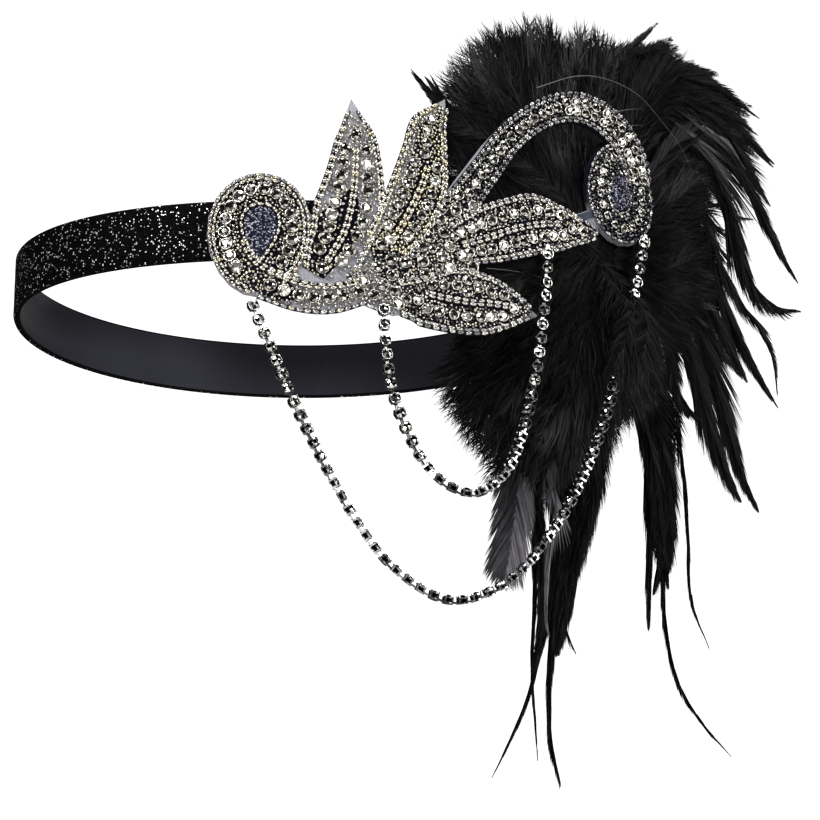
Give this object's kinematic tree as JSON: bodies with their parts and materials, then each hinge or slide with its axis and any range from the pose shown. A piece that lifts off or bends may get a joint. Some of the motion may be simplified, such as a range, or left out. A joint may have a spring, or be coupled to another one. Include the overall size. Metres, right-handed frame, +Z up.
{
  "type": "flapper headband",
  "caption": "Glitter ribbon headband with a beaded felt applique of leaves and scrolls, two hanging rhinestone chains and a side plume of black feathers.",
  "frame": {"origin": "centre of the ribbon loop at mid height of the ribbon, where the head sits", "axes": "+Z up along the worn head's axis, -Y towards the beaded ornament, +X towards the plume"},
  "size_m": [0.2796, 0.1525, 0.272],
  "materials": {
    "glitter": "black with fine silver glitter",
    "ribbon": "smooth dark slate",
    "felt": "matte grey felt",
    "inlay": "slate violet cloth",
    "beadwork": "clear and silver stones and beads",
    "chain": "silver cups with clear stones",
    "feather": "black feather"
  },
  "bodies": {
    "root": {"band_backing": "ribbon", "band_glitter_face": "glitter", "applique_base": "felt", "inlay_left": "inlay", "inlay_right": "inlay", "scroll_left_beadwork": "beadwork", "arch_beadwork": "beadwork", "leaf_1_beadwork": "beadwork", "leaf_2_beadwork": "beadwork", "leaf_3_beadwork": "beadwork", "leaf_4_beadwork": "beadwork", "centre_beadwork": "beadwork", "chain_inner": "chain", "chain_outer": "chain", "plume_fluff_lower": "feather", "plume_fluff_top": "feather", "plume_fan_right": "feather", "plume_tails": "feather", "plume_pad": "inlay"}
  },
  "joints": []
}
